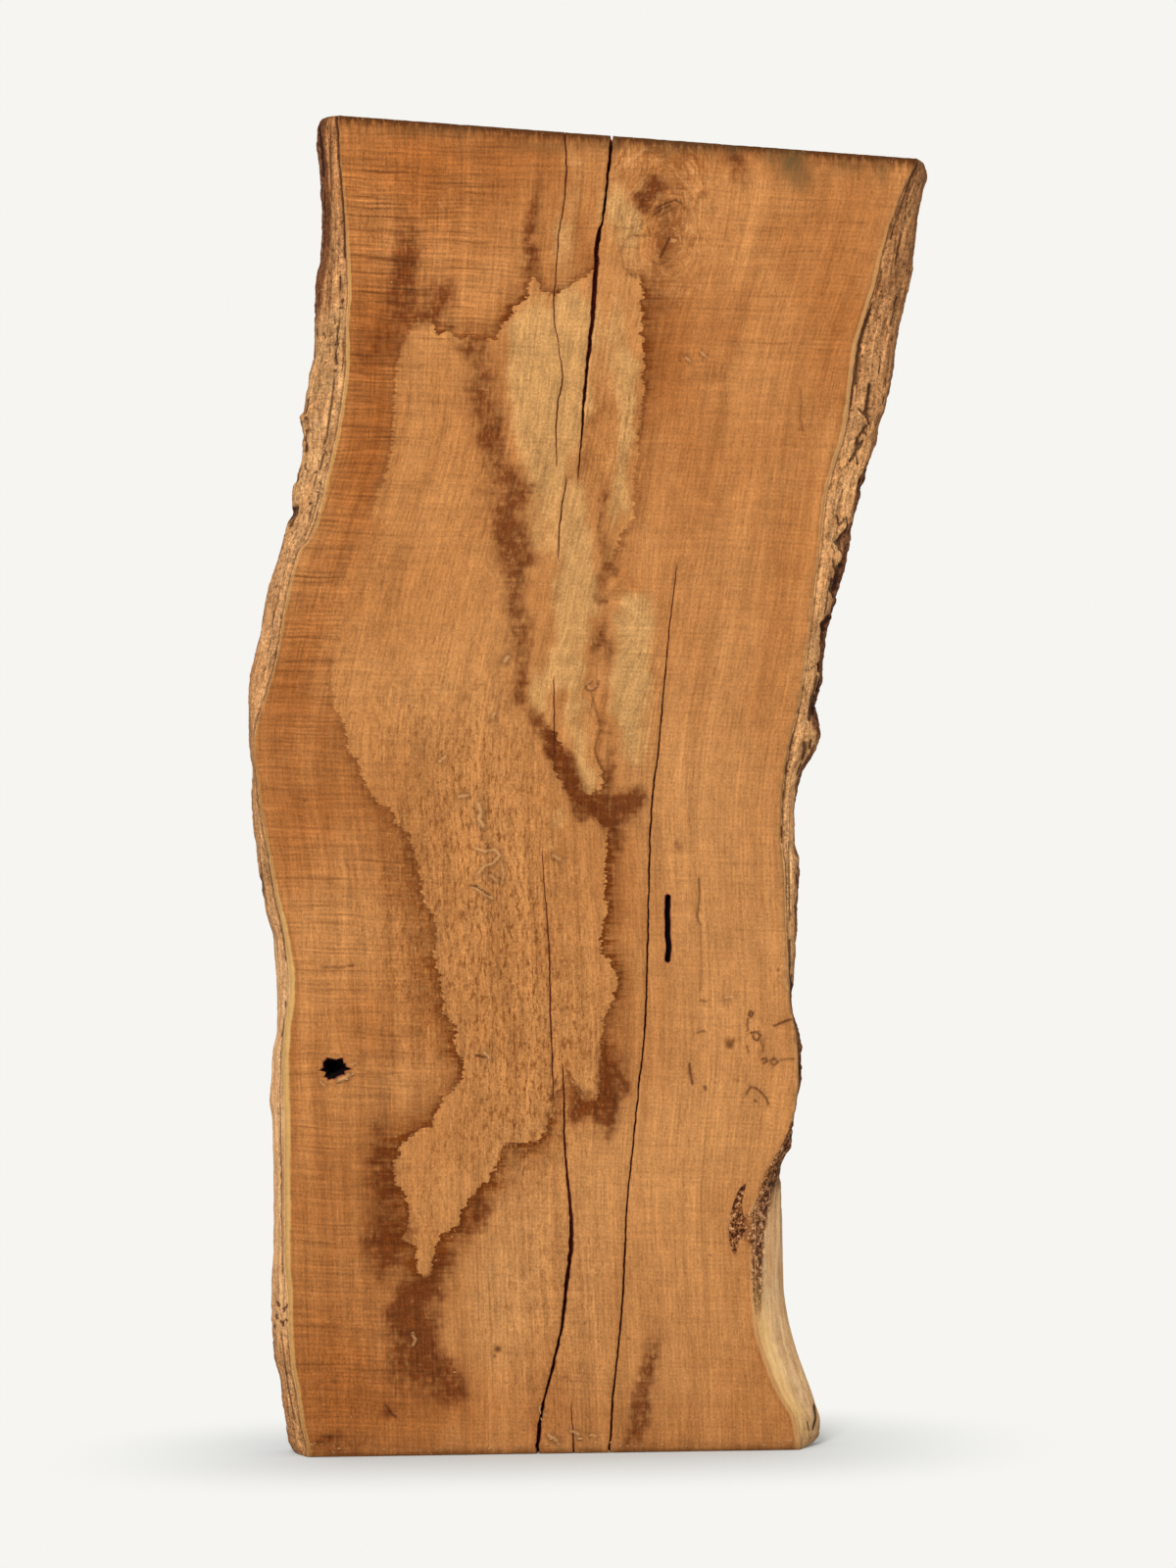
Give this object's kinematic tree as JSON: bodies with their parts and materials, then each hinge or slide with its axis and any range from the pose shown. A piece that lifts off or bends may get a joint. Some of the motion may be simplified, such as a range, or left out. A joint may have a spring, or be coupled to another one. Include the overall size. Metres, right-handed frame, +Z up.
{
  "type": "live edge wood slab",
  "caption": "Thick locust wood plank with two sawn faces, two sawn ends and wavy natural bark edges, drying checks and a knot hole.",
  "frame": {"origin": "middle of the slab's box at the level of the sawn lower end it stands on", "axes": "+Z up along the plank's length, +Y from the show face to the back through the thickness, +X to the right as seen facing the show face"},
  "size_m": [0.6162, 0.0636, 1.2017],
  "materials": {
    "locust_wood": "raw rough-sawn"
  },
  "bodies": {
    "root": {"live_edge_slab": "locust_wood"}
  },
  "joints": []
}
